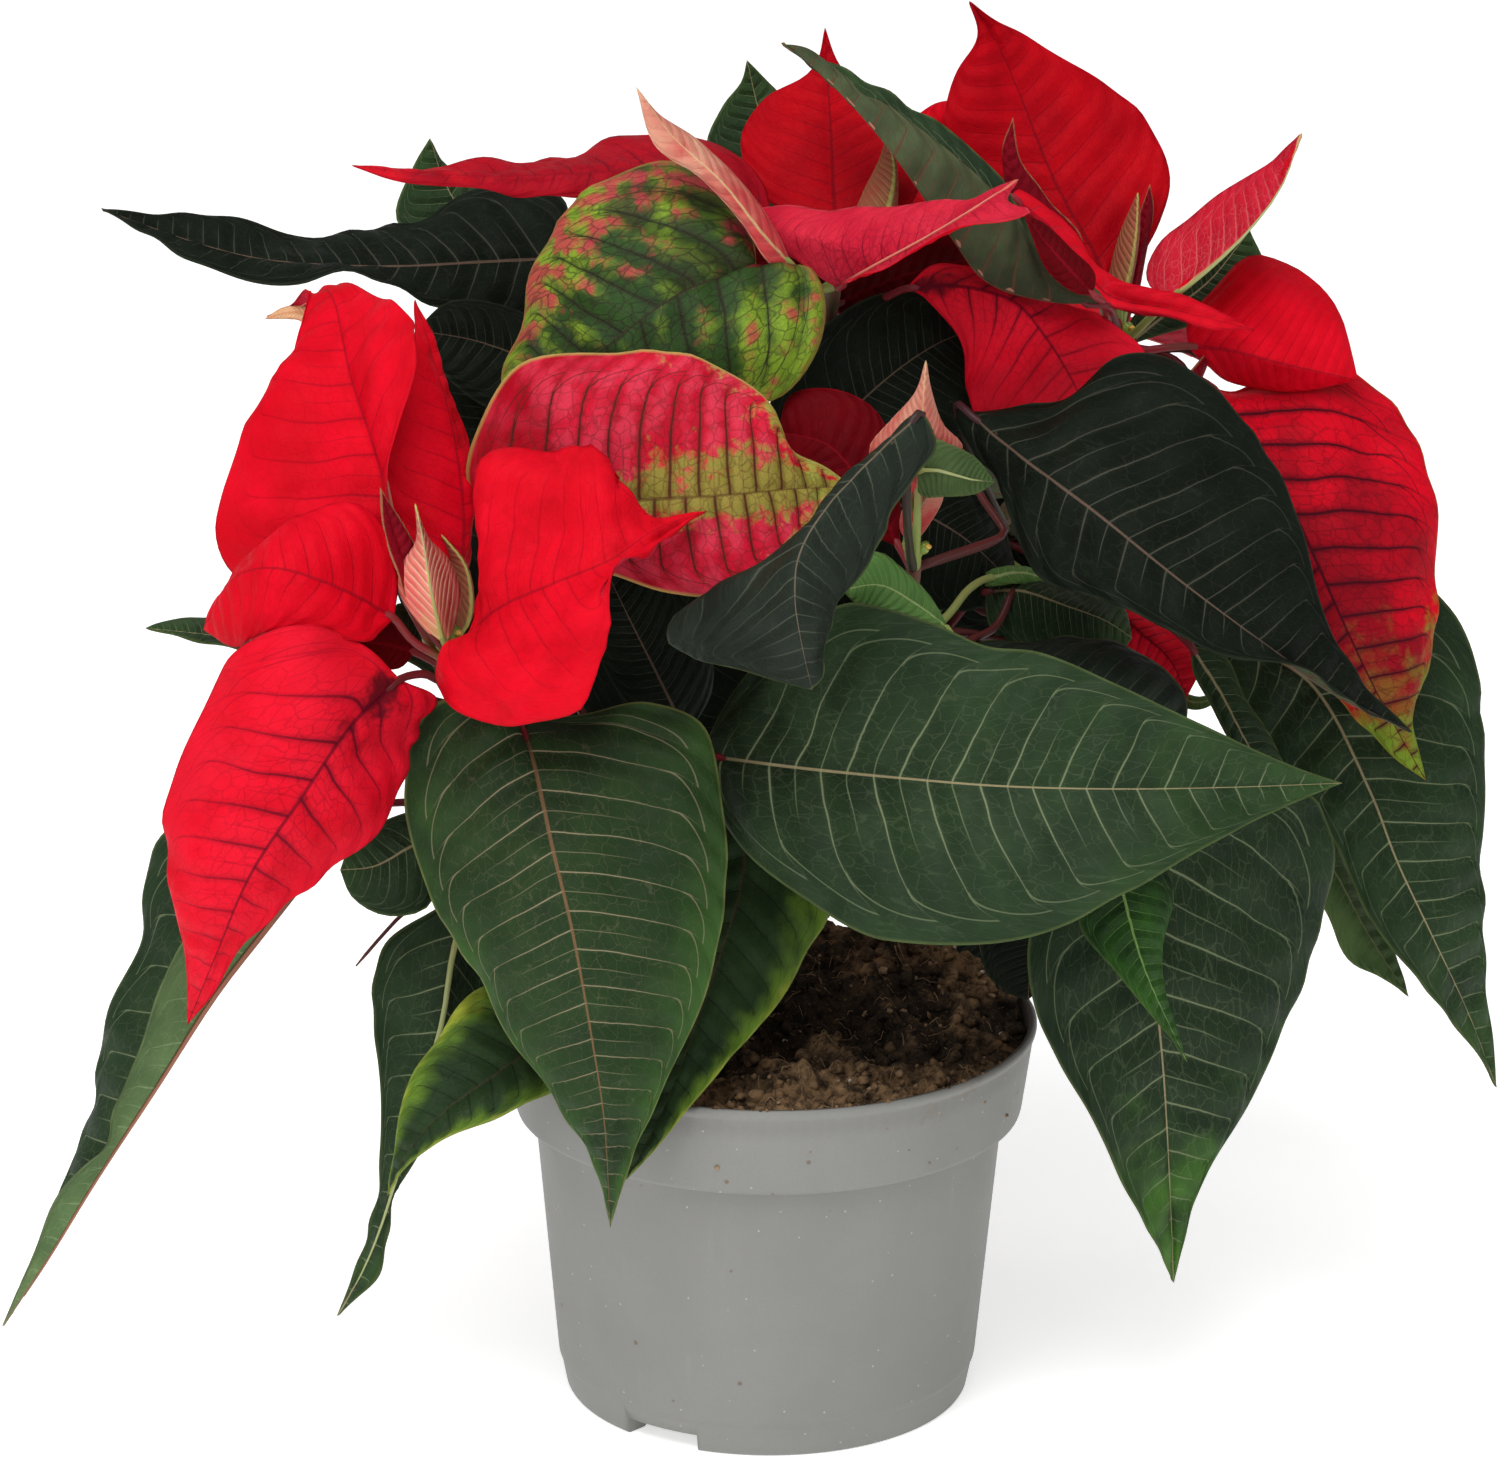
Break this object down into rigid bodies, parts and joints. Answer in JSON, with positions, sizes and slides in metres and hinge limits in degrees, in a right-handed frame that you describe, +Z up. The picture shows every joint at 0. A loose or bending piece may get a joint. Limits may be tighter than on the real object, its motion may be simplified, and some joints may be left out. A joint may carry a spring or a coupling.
{
  "type": "potted poinsettia",
  "caption": "Poinsettia with pointed red bracts and dark green veined leaves on branching stems, growing in a round tapered plastic nursery pot.",
  "frame": {"origin": "middle of the pot's flat underside", "axes": "+Z up along the pot's axis, -Y towards the front of the plant, +X to the right seen from the front"},
  "size_m": [0.3642, 0.2913, 0.3343],
  "materials": {
    "pot": "matt",
    "soil": "crumbly",
    "stem": "satin",
    "green": "satin",
    "green_bright": "satin",
    "green_dark": "satin",
    "green_edged": "satin",
    "green_pale": "satin",
    "green_under": "satin",
    "mottled_green": "satin",
    "mottled_red": "satin",
    "pink_bud": "satin",
    "pink_under": "satin",
    "pink_young": "satin",
    "red": "satin",
    "red_dark": "satin",
    "red_smooth": "satin",
    "red_tipped": "satin",
    "red_veined": "satin"
  },
  "bodies": {
    "root": {"pot": "pot", "soil": "soil", "stem": "stem", "bract_left_tall": "red", "bract_left_back": "red", "bract_left_side": "red", "bract_left_low": "red_veined", "bract_left_near": "red_smooth", "bract_left_bud": "pink_bud", "leaf_mottled_red": "mottled_red", "leaf_mottled_green": "mottled_green", "bract_top_young": "pink_young", "bract_top_left": "red", "bract_top_upright": "red", "bract_top_fold": "pink_under", "bract_right_big": "red", "bract_right_fold": "red", "bract_right_pink": "pink_under", "bract_right_round": "red", "bract_right_hanging": "red_tipped", "bract_centre_red": "red_veined", "bract_centre_dark": "red_dark", "bract_centre_bud": "pink_young", "bract_right_small": "red_veined", "leaf_top_under": "green_under", "leaf_right_behind": "green", "leaf_right_large": "green_dark", "leaf_centre_dark": "green_dark", "leaf_front_right": "green", "leaf_front_left": "green_bright", "leaf_front_dark": "green_edged", "leaf_left_low": "green_edged", "leaf_left_hanging": "green_under", "leaf_left_long": "green", "leaf_left_under": "green_edged", "leaf_left_edge": "green_under", "leaf_centre_left": "green_dark", "leaf_centre_pale": "green_pale", "leaf_centre_olive": "green", "leaf_centre_low": "green_dark", "leaf_right_olive": "green", "leaf_right_low": "green", "leaf_right_young": "green_bright", "leaf_right_far": "green", "leaf_right_tip": "green", "leaf_back_left": "green_dark", "leaf_back_inner": "green_dark", "leaf_back_top": "green", "leaf_back_upright": "green", "leaf_top_inner": "green_dark", "far_bract_1": "red", "far_bract_2": "red", "far_bract_3": "red", "far_bract_4": "red", "far_bract_5": "red", "far_leaf_1": "green", "far_leaf_2": "green", "far_leaf_3": "green", "far_leaf_4": "green", "far_leaf_5": "green"}
  },
  "joints": []
}
